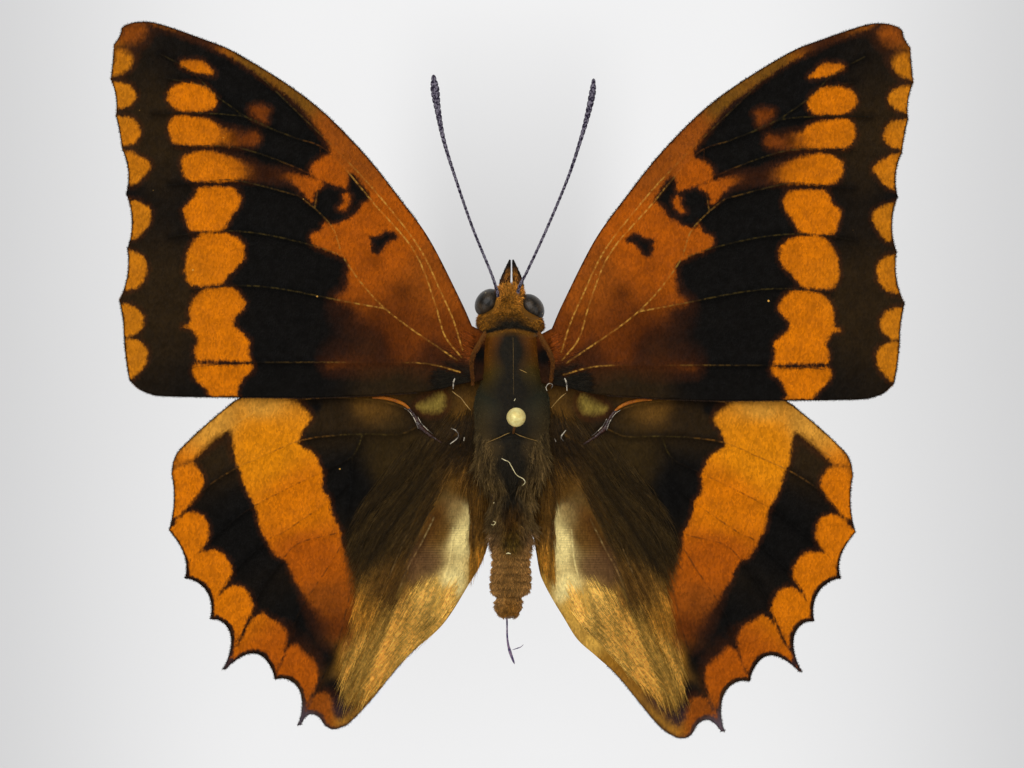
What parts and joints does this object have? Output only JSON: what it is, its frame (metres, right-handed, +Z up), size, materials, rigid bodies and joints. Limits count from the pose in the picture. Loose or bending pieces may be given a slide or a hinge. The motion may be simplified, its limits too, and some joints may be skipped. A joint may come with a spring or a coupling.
{
  "type": "pinned butterfly specimen",
  "caption": "Large brown and orange brush-footed butterfly, wings spread flat, held by an insect pin in a plain block.",
  "frame": {"origin": "on the floor, under the middle of the spread wings", "axes": "+Z up, +Y the way the head points, +X across the wings to the insect's right"},
  "size_m": [0.0761, 0.068, 0.04],
  "materials": {
    "wing": "matt wing scales, black-brown with orange spots",
    "body_hair": "short olive-brown and rust hair",
    "eye": "dull gloss, grey-black",
    "horn": "dark, finely scaled",
    "legs": "dark brown, finely scaled",
    "pin": "polished",
    "stand": "smooth off-white paint"
  },
  "bodies": {
    "root": {"head": "body_hair", "prothorax": "body_hair", "thorax": "body_hair", "abdomen": "body_hair", "tegula_left": "body_hair", "tegula_right": "body_hair", "palp_left": "body_hair", "palp_right": "body_hair", "eye_left": "eye", "eye_right": "eye", "antenna_left": "horn", "antenna_right": "horn", "foreleg_left": "legs", "foreleg_right": "legs", "midleg_left": "legs", "midleg_right": "legs", "hindleg_left": "legs", "hindleg_right": "legs", "forewing_left": "wing", "forewing_right": "wing", "hindwing_left": "wing", "hindwing_right": "wing", "pin": "pin", "stand_base": "stand"}
  },
  "joints": []
}
